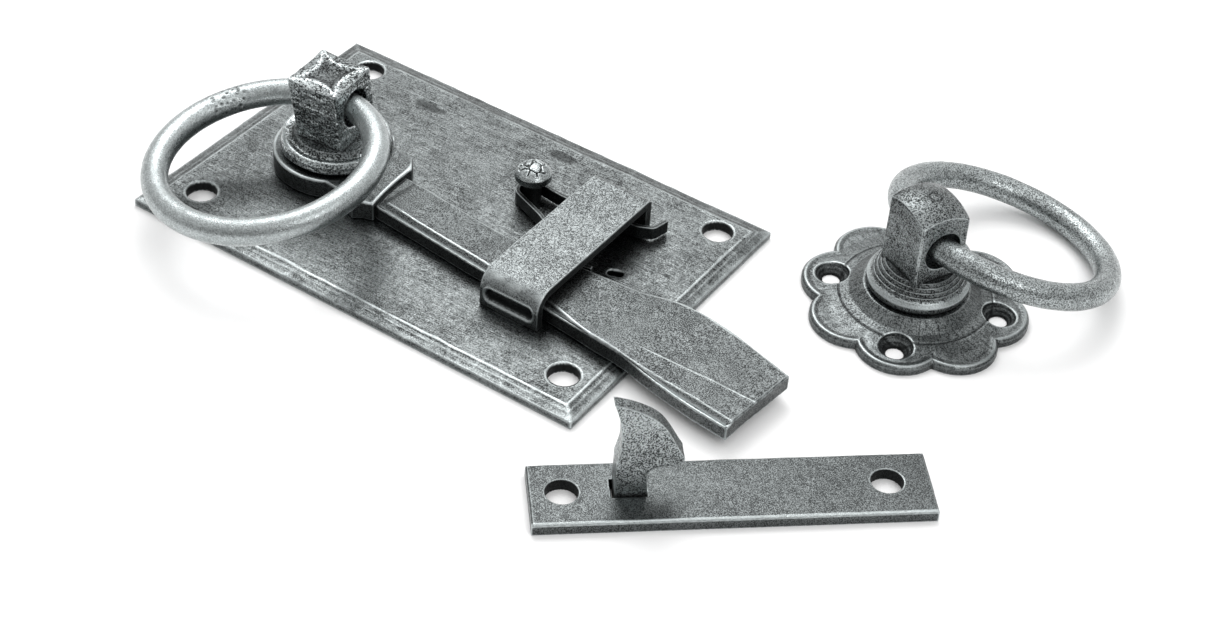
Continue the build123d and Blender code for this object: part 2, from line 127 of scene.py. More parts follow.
def cloud(points, size, seed):
    """Smooth noise from -1 to 1 with features of about size."""
    q = points / size + 512.0
    base = np.floor(q).astype(np.int64)
    f = q - base
    f = f * f * (3 - 2 * f)
    total = np.zeros(len(q))
    for step in product((0, 1), repeat=3):
        s = np.array(step)
        w = np.prod(np.where(s == 1, f, 1 - f), axis=1)
        total += w * hashed(base + s, seed)
    return 2 * total - 1


def clouds(points, size, seed):
    """Smooth noise in three octaves, from about -1 to 1."""
    total = np.zeros(len(points))
    for k in range(OCTAVES):
        total += cloud(points, size / 2 ** k, seed + k) / 2 ** k
    return total / 1.75


# --------------------------------------------------------------------- mesh helpers
def read_points(mesh):
    co = np.zeros(len(mesh.vertices) * 3)
    mesh.vertices.foreach_get("co", co)
    return co.reshape(-1, 3)


def write_points(mesh, co):
    mesh.vertices.foreach_set("co", co.astype(np.float32).ravel())
    mesh.update()


def read_normals(mesh):
    n = np.zeros(len(mesh.vertices) * 3)
    mesh.vertices.foreach_get("normal", n)
    return n.reshape(-1, 3)


def neighbour_mean(mesh):
    """A function that averages a per-vertex array over each vertex's neighbours."""
    e = np.zeros(len(mesh.edges) * 2, int)
    mesh.edges.foreach_get("vertices", e)
    a, b = e.reshape(-1, 2).T
    count = np.bincount(np.concatenate([a, b]), minlength=len(mesh.vertices))
    count = np.maximum(count, 1)

    def mean(values):
        flat = values.reshape(len(values), -1)
        total = np.zeros_like(flat)
        for k in range(flat.shape[1]):
            total[:, k] = np.bincount(a, flat[b, k], len(flat))
            total[:, k] += np.bincount(b, flat[a, k], len(flat))
        return (total / count[:, None]).reshape(values.shape)

    return mean


def dense(node, cell):
    """A welded copy of a CAD node, remade in small even faces that keep its edges."""
    mesh = NODES[node].data.copy()
    obj = bpy.data.objects.new(node + "_worked", mesh)
    bpy.context.scene.collection.objects.link(obj)
    bm = bmesh.new()
    bm.from_mesh(mesh)
    bmesh.ops.remove_doubles(bm, verts=bm.verts, dist=2e-6)
    bm.to_mesh(mesh)
    bm.free()
    longest = max(obj.dimensions)
    depth = math.ceil(math.log2(longest / cell / 0.98))
    remesh = obj.modifiers.new("Remesh", "REMESH")
    remesh.mode = "SHARP"
    remesh.octree_depth = depth
    remesh.scale = longest / (cell * 2 ** depth)
    remesh.use_remove_disconnected = False
    remesh.sharpness = 1.0
    evaluated = obj.evaluated_get(bpy.context.evaluated_depsgraph_get())
    made = bpy.data.meshes.new_from_object(evaluated)
    obj.modifiers.clear()
    obj.data = made
    if "sharp_face" in made.attributes:
        made.attributes.remove(made.attributes["sharp_face"])
    made.materials.clear()
    for polygon in made.polygons:
        polygon.use_smooth = True
    return obj


def soften(obj, rounds):
    """Move each vertex toward its neighbours' mean, a few times over."""
    mesh = obj.data
    mean = neighbour_mean(mesh)
    co = read_points(mesh)
    for _ in range(rounds):
        co = co * 0.4 + mean(co) * 0.6
    write_points(mesh, co)


def mark_edges(obj, soil_and_painted_light):
    """Store per vertex how convex (+) or hollow (-) it is, and how dark with dirt and painted shade.

    Values below zero mark metal rubbed bright and painted highlights.
    """
    mesh = obj.data
    mean = neighbour_mean(mesh)
    co = read_points(mesh)
    normal = read_normals(mesh)
    bend = ((co - mean(co)) * normal).sum(axis=1) / edge_length(mesh)
    # Rubbed wear and painted highlights from the second attribute brighten edges too.
    bend = 0.5 * bend + 0.5 * mean(bend) + 0.16 * np.clip(-soil_and_painted_light, 0, 1)
    # Painted shade in broad hollows, standing in for occlusion.
    wide = co
    for _ in range(WIDE_ROUNDS):
        wide = mean(wide)
    sunk = ((wide - co) * normal).sum(axis=1) / MM
    soil_and_painted_light = np.clip(soil_and_painted_light + 0.8 * ramp(sunk, 0.06, 0.5), 0, 1)
    for name, values in (("edge", bend), ("soil_and_painted_light", soil_and_painted_light)):
        layer = mesh.attributes.new(name, "FLOAT", "POINT")
        layer.data.foreach_set("value", values.astype(np.float32))


def edge_length(mesh):
    co = read_points(mesh)
    e = np.zeros(len(mesh.edges) * 2, int)
    mesh.edges.foreach_get("vertices", e)
    a, b = e.reshape(-1, 2).T
    return float(np.median(np.linalg.norm(co[a] - co[b], axis=1)))


def along(points, angle, origin=(0, 0)):
    """Points turned into a local frame at an angle (degrees) about an origin, in mm."""
    c, s = math.cos(math.radians(angle)), math.sin(math.radians(angle))
    x = points[:, 0] - origin[0]
    y = points[:, 1] - origin[1]
    return np.stack([c * x + s * y, -s * x + c * y, points[:, 2]], axis=1)


def ramp(value, low, high):
    """A smooth step from 0 at low to 1 at high."""
    t = np.clip((value - low) / (high - low), 0, 1)
    return t * t * (3 - 2 * t)


# ------------------------------------------------------------------------ materials
def node_tree(name):
    material = bpy.data.materials.new(name)
    material.use_nodes = True
    tree = material.node_tree
    tree.nodes.clear()
    out = tree.nodes.new("ShaderNodeOutputMaterial")
    shader = tree.nodes.new("ShaderNodeBsdfPrincipled")
    tree.links.new(shader.outputs[0], out.inputs[0])
    return material, tree, shader


def noise_node(tree, coords, scale, detail=3.0, rough=0.6):
    node = tree.nodes.new("ShaderNodeTexNoise")
    node.inputs["Scale"].default_value = scale
    node.inputs["Detail"].default_value = detail
    node.inputs["Roughness"].default_value = rough
    tree.links.new(coords, node.inputs["Vector"])
    return node.outputs["Fac"]


def stretched(tree, coords, scale, turn=0.0):
    node = tree.nodes.new("ShaderNodeMapping")
    node.inputs["Scale"].default_value = scale
    node.inputs["Rotation"].default_value = (0, 0, math.radians(turn))
    tree.links.new(coords, node.inputs["Vector"])
    return node.outputs[0]


def mapped(tree, value, from_low, from_high, to_low, to_high):
    node = tree.nodes.new("ShaderNodeMapRange")
    node.inputs["From Min"].default_value = from_low
    node.inputs["From Max"].default_value = from_high
    node.inputs["To Min"].default_value = to_low
    node.inputs["To Max"].default_value = to_high
    tree.links.new(value, node.inputs["Value"])
    return node.outputs[0]


def math_node(tree, kind, a, b):
    node = tree.nodes.new("ShaderNodeMath")
    node.operation = kind
    for socket, value in zip(node.inputs, (a, b)):
        if isinstance(value, (int, float)):
            socket.default_value = value
        else:
            tree.links.new(value, socket)
    return node.outputs[0]


def mixed(tree, factor, low, high):
    """A colour between two, each a plain colour or another colour's socket."""
    node = tree.nodes.new("ShaderNodeMix")
    node.data_type = "RGBA"
    tree.links.new(factor, node.inputs[0])
    for socket, value in ((node.inputs[6], low), (node.inputs[7], high)):
        if isinstance(value, tuple):
            socket.default_value = (*value, 1)
        else:
            tree.links.new(value, socket)
    return node.outputs[2]


def grey(value):
    """A cool grey."""
    return (value * 0.925, value, value * 1.005)


def scaled_sum(tree, first, share, second):
    """first * share + second, where second already carries its own share."""
    return math_node(tree, "ADD", math_node(tree, "MULTIPLY", first, share), second)


def round_lines(tree, coords, centre):
    """Noise drawn out along the radii from a centre."""
    shifted = tree.nodes.new("ShaderNodeVectorMath")
    shifted.operation = "SUBTRACT"
    shifted.inputs[1].default_value = (centre[0] * MM, centre[1] * MM, 0)
    tree.links.new(coords, shifted.inputs[0])
    apart = tree.nodes.new("ShaderNodeSeparateXYZ")
    tree.links.new(shifted.outputs[0], apart.inputs[0])
    turn = math_node(tree, "ARCTAN2", apart.outputs[1], apart.outputs[0])
    length = tree.nodes.new("ShaderNodeVectorMath")
    length.operation = "LENGTH"
    tree.links.new(shifted.outputs[0], length.inputs[0])
    joined = tree.nodes.new("ShaderNodeCombineXYZ")
    tree.links.new(math_node(tree, "MULTIPLY", turn, 30.0), joined.inputs[0])
    tree.links.new(math_node(tree, "MULTIPLY", length.outputs["Value"], 160.0), joined.inputs[1])
    return noise_node(tree, joined.outputs[0], 1.0, 3.0)


def pewter(name, level, contrast, grain=2600.0, brushed=None, radial=None, rough=0.42,
           patch=0.2, pits=0.3, edge_gain=1.0):
    """Pewter finish over iron: dark grained metal with rubbed wear and painted highlights on its edges,
    darkened by dirt and painted shade.
    """
    material, tree, shader = node_tree(name)
    coords = tree.nodes.new("ShaderNodeTexCoord").outputs["Object"]
    speck = noise_node(tree, coords, grain, 1.0, 0.6)
    broad = noise_node(tree, coords, 60.0, 3.0, 0.55)
    middle = noise_node(tree, coords, 520.0, 3.0, 0.65)
    tone = mapped(tree, speck, 0.40, 0.60, 0.0, 1.0)
    lines = None
    if brushed is not None:
        lines = noise_node(tree, stretched(tree, coords, (90, 2300, 900), brushed), 1.0, 3.0)
    if radial is not None:
        lines = round_lines(tree, coords, radial)
    if lines is not None:
        tone = scaled_sum(tree, tone, 0.65, mapped(tree, lines, 0.38, 0.62, 0.0, 0.35))
    tone = math_node(tree, "ADD", tone, mapped(tree, broad, 0.3, 0.7, -patch, patch))
    tone = math_node(tree, "ADD", tone, mapped(tree, middle, 0.3, 0.7, -patch, patch))
    colour = mixed(tree, tone, grey(level * (1 - contrast)), grey(level * (1 + contrast)))
    pit = noise_node(tree, coords, 1300.0, 2.0, 0.5)
    pit_mask = mapped(tree, pit, 0.72 - 0.1 * pits, 0.80 - 0.1 * pits, 0.0, 0.8)
    colour = mixed(tree, pit_mask, colour, grey(level * 0.2))
    # Convex edges lighter: rubbed wear and painted highlights; narrow hollows darker.
    edge_wear_and_glint = tree.nodes.new("ShaderNodeAttribute")
    edge_wear_and_glint.attribute_name = "edge"
    bright = mapped(tree, edge_wear_and_glint.outputs["Fac"], 0.03, 0.16, 0.0, 0.85 * edge_gain)
    hollow = mapped(tree, edge_wear_and_glint.outputs["Fac"], -0.03, -0.16, 0.0, 0.9)
    colour = mixed(tree, bright, colour, grey(RUBBED_AND_GLINT))
    colour = mixed(tree, hollow, colour, grey(level * 0.12))
    # Dirt and painted shade darken the colour toward near black.
    soil_light_node = tree.nodes.new("ShaderNodeAttribute")
    soil_light_node.attribute_name = "soil_and_painted_light"
    dirt_and_shade = mapped(tree, soil_light_node.outputs["Fac"], 0.0, 1.0, 0.0, 0.94)
    colour = mixed(tree, dirt_and_shade, colour, grey(BLACK))
    tree.links.new(colour, shader.inputs["Base Color"])
    matt = math_node(tree, "ADD", pit_mask, soil_light_node.outputs["Fac"])
    sheen = mapped(tree, middle, 0.3, 0.7, rough + 0.07, rough - 0.07)
    roughness = scaled_sum(tree, matt, 0.25, sheen)
    tree.links.new(roughness, shader.inputs["Roughness"])
    shader.inputs["Metallic"].default_value = 1.0
    relief = tree.nodes.new("ShaderNodeBump")
    relief.inputs["Strength"].default_value = BUMP_STRENGTH
    relief.inputs["Distance"].default_value = BUMP_DEPTH
    tree.links.new(math_node(tree, "SUBTRACT", tone, pit_mask), relief.inputs["Height"])
    tree.links.new(relief.outputs[0], shader.inputs["Normal"])
    return material


PLATE = pewter("plate_pewter_brushed", 0.106, 0.85, brushed=0.0, patch=0.16, rough=0.30)
PLATE_CATCH = pewter("plate_pewter_catch", 0.092, 0.62, grain=3000, patch=0.15, rough=0.34)
FORGED = pewter("forged_pewter_grained", 0.100, 0.76, grain=3000, patch=0.15, rough=0.36)
HUB = pewter("forged_pewter_hub", 0.105, 0.72, grain=3000, patch=0.25, rough=0.34)
KEEP = pewter("forged_pewter_keep", 0.155, 0.72, grain=3000, patch=0.15, rough=0.34)
HOOK = pewter("forged_pewter_hook", 0.28, 0.8, grain=2400, patch=0.2, rough=0.36)
BOSS = pewter("boss_pewter_pitted", 0.35, 0.92, grain=1900, pits=1.2, patch=0.3, rough=0.30,
              edge_gain=0.7)
BOSS_FINE = pewter("boss_pewter_fine", 0.20, 0.9, grain=2400, pits=0.5, patch=0.25, rough=0.34)
ROSE = pewter("rose_pewter", 0.115, 0.80, grain=2500, radial=ROSE_CENTRE, patch=0.15, rough=0.34)
RING_IN = pewter("ring_pewter_rubbed", 0.41, 0.26, grain=2600, pits=0.0, patch=0.22, rough=0.30)
RING_OUT = pewter("ring_pewter_speckled", 0.31, 0.68, grain=2600, pits=0.5, patch=0.15, rough=0.30)
HEAD = pewter("post_pewter_polished", 0.30, 0.4, grain=2400, pits=0.0, patch=0.15, rough=0.22)
SPRING = pewter("spring_steel_dark", 0.05, 0.5, grain=2600, pits=0.0, rough=0.40, edge_gain=0.5)
STEEL = pewter("washer_steel", 0.35, 0.2, grain=2600, pits=0.0, patch=0.1, rough=0.35)


# ----------------------------------------------------------------- working each piece
def finish_piece(obj, node, body, material, soil_and_painted_light):
    """Colour a worked piece and let it stand for its CAD node."""
    mark_edges(obj, soil_and_painted_light)
    obj.data.materials.append(material)
    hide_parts(node)
    if body:
        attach(obj, body)
    return obj


def work(node, cell, rounds, marks):
    """A dense copy of a node, softened and then reshaped; also its dirt and painted light per vertex.
    """
    obj = dense(node, cell * MM)
    soften(obj, rounds)
    p = read_points(obj.data) / MM
    normal = read_normals(obj.data)
    push, soil_and_painted_light = marks(p, normal)
    p += normal * push[:, None]
    p[:, 2] = np.maximum(p[:, 2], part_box(node)[0].z / MM)
    write_points(obj.data, p * MM)
    return obj, soil_and_painted_light


def hammered(p, size, depth, seed, stretch=(1, 1, 1)):
    """Shallow hammer marks that meet in soft ridges, in mm of push."""
    near, _ = cells_noise(p / np.array(stretch), size, seed)
    return depth * (np.minimum(near, 1.0) ** 2 - 0.35)


def facing_up(normal, low=0.3, high=0.8):
    return ramp(normal[:, 2], low, high)


def flank(normal, amount):
    """Painted shade on the upright sides."""
    return amount * (1 - ramp(np.abs(normal[:, 2]), 0.25, 0.75))


def bump_at(value, centre, width):
    """A bell of height 1 around a centre."""
    return np.exp(-((value - centre) / width) ** 2)


def hole_shade(p, normal, centres, radius):
    """Painted shade: dark walls inside round holes."""
    dark = np.zeros(len(p))
    for x, y in centres:
        r = np.hypot(p[:, 0] - x, p[:, 1] - y)
        dark = np.maximum(dark, 1 - ramp(r, radius + 0.05, radius + 0.35))
    return 0.9 * dark * (1 - ramp(np.abs(normal[:, 2]), 0.6, 0.95))


def plate_marks(p, normal):
    lo, hi = (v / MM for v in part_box("backplate"))
    inset = np.minimum.reduce([p[:, 0] - lo.x, hi.x - p[:, 0], p[:, 1] - lo.y, hi.y - p[:, 1]])
    wave = BORDER_W + 0.45 * clouds(p, 9.0, 15)
    border = 1 - ramp(inset, wave - 0.6, wave + 0.2)
    ridge = bump_at(inset, wave, 0.5) * (0.7 + 0.3 * clouds(p, 4.0, 16))
    push = (hammered(p, 6.5, 0.30, 11) - 0.12) * border
    push += 0.15 * ridge + 0.08 * bump_at(inset, wave - 1.6, 0.45)
    push += 0.14 * clouds(p, 30.0, 5) + 0.05 * clouds(p, 5.0, 8)
    near, _ = cells_noise(p, 6.0, 21)
    pits = ramp(0.15 - near, 0.0, 0.1) * ramp(cloud(p, 22.0, 3), 0.1, 0.5)
    spread = [np.hypot((p[:, 0] - x) / 6.0, (p[:, 1] - y) / 2.2) for x, y in SCARS]
    away = np.minimum.reduce(spread)
    scar = 1 - ramp(away + 0.35 * clouds(p, 2.5, 17), 0.7, 1.0)
    push -= 0.18 * pits + 0.16 * scar * (0.6 + 0.8 * clouds(p, 1.2, 19))
    slot = along(p, SLOT[2], SLOT[:2])
    in_slot = np.hypot(np.maximum(np.abs(slot[:, 0]) - SLOT_HALF_RUN, 0), slot[:, 1])
    up = facing_up(normal, -0.2, 0.2)
    # Painted shade on the hole walls and in the slot through the plate.
    soil_and_painted_light = hole_shade(p, normal, PLATE_HOLES, PLATE_HOLE_R)
    soil_and_painted_light = np.maximum(soil_and_painted_light, (1 - ramp(in_slot, 1.25, 1.6)) * (1 - ramp(p[:, 2], 2.8, 3.1)))
    # Scars darker; a darker ring round the slot rim.
    soil_and_painted_light += (0.6 * scar + 0.5 * bump_at(in_slot, 1.5, 0.5)) * up
    # Painted shade on the upright sides; painted highlight on the bevelled border and its ridge line.
    soil_and_painted_light += flank(normal, 0.10) - (0.22 * ridge + 0.26 * border) * up
    blots = ramp(clouds(p, 9.0, 23), 0.10, 0.6) * up
    nick = cloud(p * np.array([0.25, 2.2, 1.0]), 1.0, 27)
    nicks = ramp(nick, 0.62, 0.8) * ramp(clouds(p, 7.0, 29), 0.1, 0.5) * up
    return (push - 0.07 * nicks) * up, soil_and_painted_light + 0.20 * blots + 0.35 * nicks


def bar_marks(p, normal):
    push = hammered(p, 13.0, 0.42, 31, (1, 1, 3)) + 0.15 * clouds(p, 16.0, 33)
    push += 0.04 * clouds(p, 2.5, 36)
    local = along(p, BAR_ANGLE)
    x, y = local[:, 0], local[:, 1]
    up = facing_up(normal, 0.2, 0.7)
    width = BAR_BEVEL - BAR_BEVEL * ramp(x, *BAR_BEVEL_ENDS)
    start = ramp(x, BAR_ROOT_X - 0.5, BAR_ROOT_X + 4.5)
    inset = y - BAR_NEAR_Y
    bevel = np.clip(width - inset, 0, None) * start
    push -= 0.62 * bevel * up
    line = bump_at(inset, width, 0.35) * start * ramp(width, 0.1, 0.4)
    facet = bump_at(y - FACET_START[1] - 0.12 * (x - FACET_START[0]), 0.0, 0.45)
    facet *= ramp(x, 116.0, 124.0)
    push += (0.10 * facet + 0.06 * line) * up
    push -= 0.5 * (1 - ramp(x, BAR_ROOT_X, BAR_ROOT_X + 2.5)) * up
    # Painted shade on the upright sides, less toward the tip; painted highlights on the bevel, its edge
    # line, the tip facet and the far arris; painted shade toward the hub end.
    side = flank(normal, 0.48 - 0.30 * ramp(x, 108.0, 140.0))
    far = bump_at(y, np.interp(x, *BAR_FAR_EDGE) - 0.3, 0.5)
    lit = 0.40 * line + 0.26 * np.minimum(bevel, 1.0) + 0.3 * facet + 0.5 * far
    shade = 0.14 * (1 - ramp(x, 60.0, 90.0))
    return push, side + (shade - lit) * up


def keep_marks(p, normal):
    push = hammered(p, 10.0, 0.12, 41) + 0.05 * clouds(p, 4.0, 43)
    x, y, z = p.T
    off = np.maximum(np.abs(x - KEEP_MID_X) - DENT_HALF_RUN, 0)
    reach = np.hypot(off, (z - DENT_Z) * 0.8)
    outward = ramp(-normal[:, 1], 0.4, 0.9) * (y < KEEP_NEAR_Y)
    dent = (1 - ramp(reach, 1.0, 1.9)) * outward
    lip = bump_at(reach, 2.2, 0.35) * outward
    low = (1 - ramp(z, 4.2, 5.2)) * outward
    bend = bump_at(normal[:, 1], -0.62, 0.28) * (y < KEEP_NEAR_Y + 2.0) * (z > 8.0)
    upright = ramp(np.abs(normal[:, 0]), 0.5, 0.85)
    under = ramp(-normal[:, 2], 0.3, 0.8)
    # Painted shade in the dent, along the bottom of the outward face, on the end faces and on the
    # downward faces.
    soil_and_painted_light = 1.0 * dent + 0.6 * low + 0.8 * upright + 0.8 * under
    # Painted highlight on the near bend and on the lip.
    bend_highlight = (0.6 + 0.6 * clouds(p, 3.0, 45)) * bend * (1 - upright)
    return push - 1.2 * dent + 0.14 * lip, soil_and_painted_light - 0.30 * lip - bend_highlight


def hub_marks(p, normal):
    push = hammered(p, 7.0, 0.20, 51) + 0.10 * clouds(p, 5.0, 53)
    r = np.hypot(p[:, 0], p[:, 1])
    rim = bump_at(r, HUB_RIM_R, 0.7) * ramp(normal[:, 2], 0.0, 0.4) * (p[:, 0] < 12.0)
    lip = bump_at(p[:, 0] + 0.08 * p[:, 1], HUB_LIP_X, 0.9) * facing_up(normal)
    from_horn = np.hypot(p[:, 0] - HUB_HORN[0], p[:, 1] - HUB_HORN[1])
    horn = (1 - ramp(from_horn, 0.8, 2.6)) * facing_up(normal, 0.0, 0.5)
    # Painted shade on the upright sides; painted highlights on the rim, the lip and the near horn.
    return push + 0.12 * lip, flank(normal, 0.30) - 0.45 * rim - 0.45 * lip - 0.6 * horn


def star_top(p, yaw, half_x, half_y, top):
    """Fall of a boss top: a sunk star with a curved facet outside each of its arcs."""
    local = along(p, yaw)
    u, v = np.abs(local[:, 0]) / half_x, np.abs(local[:, 1]) / half_y
    fall = np.zeros(len(p))
    inside = np.ones(len(p))
    arcs = np.zeros(len(p))
    for a, b in ((u, v), (v, u)):
        bow = np.clip(1 - b * b, 0, 1)
        arc = 1 - STAR_FACET * bow
        out = np.clip((a - arc) / (STAR_FACET * bow + 0.05), 0, 1)
        fall = np.maximum(fall, STAR_FALL * bow * out)
        inside = np.minimum(inside, np.clip((arc - a) / 0.38, 0, 1))
        arcs = np.maximum(arcs, bump_at(a, arc, 0.07))
    star = inside * inside * (3 - 2 * inside)
    height = ramp(p[:, 2], top - 5.0, top - 0.6)
    return (fall + STAR_SINK * star) * height, star * height, arcs * height


def boss_grain(p, depth, seed):
    """Pitted, rippled casting skin, in mm of push."""
    near, _ = cells_noise(p, 1.5, seed)
    pits = ramp(0.30 - near, 0.0, 0.22)
    ripple = clouds(p * np.array([0.8, 0.8, 2.6]), 2.4, seed + 2)
    return depth * (0.22 * ripple - 0.22 * pits), pits


def inside_boss_marks(p, normal):
    head = ramp(p[:, 2], IN_COLLAR_TOP, IN_COLLAR_TOP + 1.2)
    middle = p - np.array((*IN_TOP_CENTRE, 0))
    fall, star, arcs = star_top(middle, IN_YAW, *IN_TOP_HALF, IN_TOP)
    p[:, 2] -= fall
    push, pits = boss_grain(p, 0.75, 61)
    push *= 0.35 + 0.65 * head * (1 - star)
    x, y = p[:, 0] - IN_COLLAR_CENTRE[0], p[:, 1] - IN_COLLAR_CENTRE[1]
    angle = np.arctan2(y, x)
    wave = np.cos(3 * angle + 0.7) + 0.6 * np.cos(7 * angle + 2.0)
    r = np.hypot(x, y)
    push += 0.20 * wave * bump_at(r, IN_COLLAR_R, 1.4) * (1 - head)
    band = bump_at(p[:, 2], 11.6, 1.0) * ramp(r, 15.0, 16.0) * (1 - head)
    push -= 0.22 * band * (0.3 + pits)
    crown = bump_at(r, IN_COLLAR_R - 0.2, 0.7) * facing_up(normal, -0.1, 0.3) * (1 - head)
    lower = (1 - head) * (1 - ramp(r, 12.0, 14.6))
    # Dark pits on the head; painted shade in the sunk star, in the groove round the collar, on the
    # lower collar and on the head's upward faces near its top.
    soil_and_painted_light = 0.35 * pits * head + 0.25 * star + 0.7 * band * (0.5 + 0.5 * pits) + 0.55 * lower
    soil_and_painted_light += 0.58 * facing_up(normal, 0.5, 0.9) * ramp(p[:, 2], IN_TOP - 3.7, IN_TOP - 2.2)
    # Painted highlights on the collar crown and on the arcs between the facets.
    return push, soil_and_painted_light - 0.7 * crown - 0.7 * arcs * facing_up(normal, 0.5, 0.8)


def outside_boss_marks(p, normal):
    x, y = p[:, 0] - ROSE_CENTRE[0], p[:, 1] - ROSE_CENTRE[1]
    push, pits = boss_grain(p, 0.28, 65)
    head = ramp(p[:, 2], OUT_COLLAR_TOP, OUT_COLLAR_TOP + 1.0)
    top = facing_up(normal, 0.7, 0.9) * head
    r = np.hypot(x - DIMPLE_SHIFT[0], y - DIMPLE_SHIFT[1])
    push = push * (0.2 + 0.8 * head) - 0.18 * top * bump_at(r, DIMPLE_R, 0.4)
    away = np.hypot(x, y)
    ridges = (1 - head) * ramp(p[:, 2], 10.6, 11.4)
    # Dark pits on the head; painted shade on the head's upward faces, in the dimple, under the head and
    # at the foot.
    soil_and_painted_light = 0.30 * top + 0.3 * pits * head + 0.45 * ridges
    soil_and_painted_light += 0.4 * top * bump_at(r, DIMPLE_R, 0.5)
    roll = (1 - head) * bump_at(p[:, 2], OUT_ROLL_Z, 0.9) * ramp(away, 12.5, 13.5)
    foot = (1 - head) * (1 - ramp(away, 9.0, 10.5))
    # Painted highlight on the collar roll.
    return push, soil_and_painted_light + 0.3 * foot - 0.75 * roll


def inside_ring_marks(p, normal):
    push = 0.08 * clouds(p, 6.0, 111) + 0.03 * clouds(p, 1.6, 114)
    away = np.linalg.norm(p - np.array(RING_PATCH), axis=1)
    patch = 1 - ramp(away + 1.6 * clouds(p, 3.0, 116), 5.0, 7.5)
    near, _ = cells_noise(p, 1.5, 117)
    push -= 0.22 * patch * ramp(0.5 - near, 0.0, 0.3)
    return push, 0.42 * patch * ramp(0.75 - near, 0.0, 0.5)


def outside_ring_marks(p, normal):
    return 0.07 * clouds(p, 5.0, 121) + 0.04 * clouds(p, 1.4, 124), np.zeros(len(p))


def lobe_inset(x, y):
    """Distance in from the rose's scalloped outline."""
    step = 2 * math.pi / LOBES
    yaw = math.radians(ROSE_YAW)
    turn = np.round((np.arctan2(y, x) - yaw) / step) * step + yaw
    return LOBE_R - np.hypot(x - LOBE_C * np.cos(turn), y - LOBE_C * np.sin(turn))


def from_screws(x, y):
    """Distance from the nearest of the rose's screw holes."""
    nearest = np.full(len(x), 99.0)
    for k in range(ROSE_SCREWS):
        turn = math.radians(ROSE_YAW + 360 * k / ROSE_SCREWS)
        place = (ROSE_SCREW_C * math.cos(turn), ROSE_SCREW_C * math.sin(turn))
        nearest = np.minimum(nearest, np.hypot(x - place[0], y - place[1]))
    return nearest


def rose_marks(p, normal):
    x, y = p[:, 0] - ROSE_CENTRE[0], p[:, 1] - ROSE_CENTRE[1]
    inset = lobe_inset(x, y)
    up = facing_up(normal, -0.2, 0.3)
    r = np.hypot(x, y)
    outer = ramp(r, 22.2, 23.2)
    screws = from_screws(x, y)
    groove = bump_at(inset, 2.4, 0.6) * outer * ramp(screws, 4.9, 5.8)
    roll = bump_at(inset, 1.2, 0.7) * outer
    push = 0.05 * clouds(p, 5.0, 71) + 0.06 * clouds(p, 14.0, 72) - 0.13 * groove + 0.08 * roll
    sink = 1 - ramp(screws, 4.4, 4.9)
    push += 0.07 * np.cos(screws * 2 * math.pi / 0.95) * sink
    ring = bump_at(r, ROSE_LINE_R, 0.35)
    rim = bump_at(screws, 5.15, 0.35) * up
    # Painted shade in the screw holes, their countersinks and on the upright sides; dark engraved line;
    # darker in the groove.
    soil_and_painted_light = 0.75 * (1 - ramp(screws, 1.6, 4.3)) + 0.4 * sink + 0.5 * ring * up + 0.15 * groove
    # Painted highlights on the screw rims and along the lobed outline.
    soil_and_painted_light -= 0.3 * rim + 0.25 * bump_at(inset, 0.8, 0.5) * outer * up
    return push * up, soil_and_painted_light + flank(normal, 0.35)


def catch_marks(p, normal):
    push = hammered(p, 9.0, 0.12, 81) + 0.05 * clouds(p, 5.0, 83)
    push *= facing_up(normal, -0.2, 0.3)
    local = along(p, CATCH_ANGLE, CATCH_CENTRE)
    x, y = local[:, 0], local[:, 1]
    gap = (x > MORTISE_X[0]) * (x < MORTISE_X[1]) * (y > MORTISE_Y[0]) * (y < MORTISE_Y[1])
    near_edge = bump_at(y, CATCH_NEAR_Y, 0.45) * ramp(normal[:, 2], 0.0, 0.4)
    # Painted shade in the holes and the mortise gap; painted highlight along the near edge.
    soil_and_painted_light = hole_shade(local, normal, CATCH_HOLES, CATCH_HOLE_R) + 0.95 * gap * (p[:, 2] < 3.3)
    return push, soil_and_painted_light - 0.55 * near_edge


def hook_marks(p, normal):
    push = 0.12 * clouds(p, 4.0, 91) + 0.04 * clouds(p, 1.5, 93)
    # Painted shade at the foot by the plate; darker on its upward faces.
    return push, 0.8 * (1 - ramp(p[:, 2], 3.8, 5.0)) + 0.5 * facing_up(normal, 0.3, 0.6)


def post_marks(p, normal):
    warped = p + 0.6 * np.stack([clouds(p, 2.0, 105 + k) for k in range(3)], axis=1)
    near, far = cells_noise(warped, 3.1, 101)
    x, y = p[:, 0] - POST_CENTRE[0], p[:, 1] - POST_CENTRE[1]
    head = ramp(p[:, 2], 13.2, 14.2) * (1 - ramp(np.hypot(x, y), 3.7, 4.7))
    crease = ramp(0.20 - (far - near), 0.0, 0.16) * head
    # Darker in the head's creases; painted shade on all below the head.
    return -0.45 * crease + 0.08 * clouds(p, 3.0, 103), 0.8 * crease + 0.95 * (p[:, 2] < 11.0)


def plain_marks(p, normal):
    return np.zeros(len(p)), np.zeros(len(p))


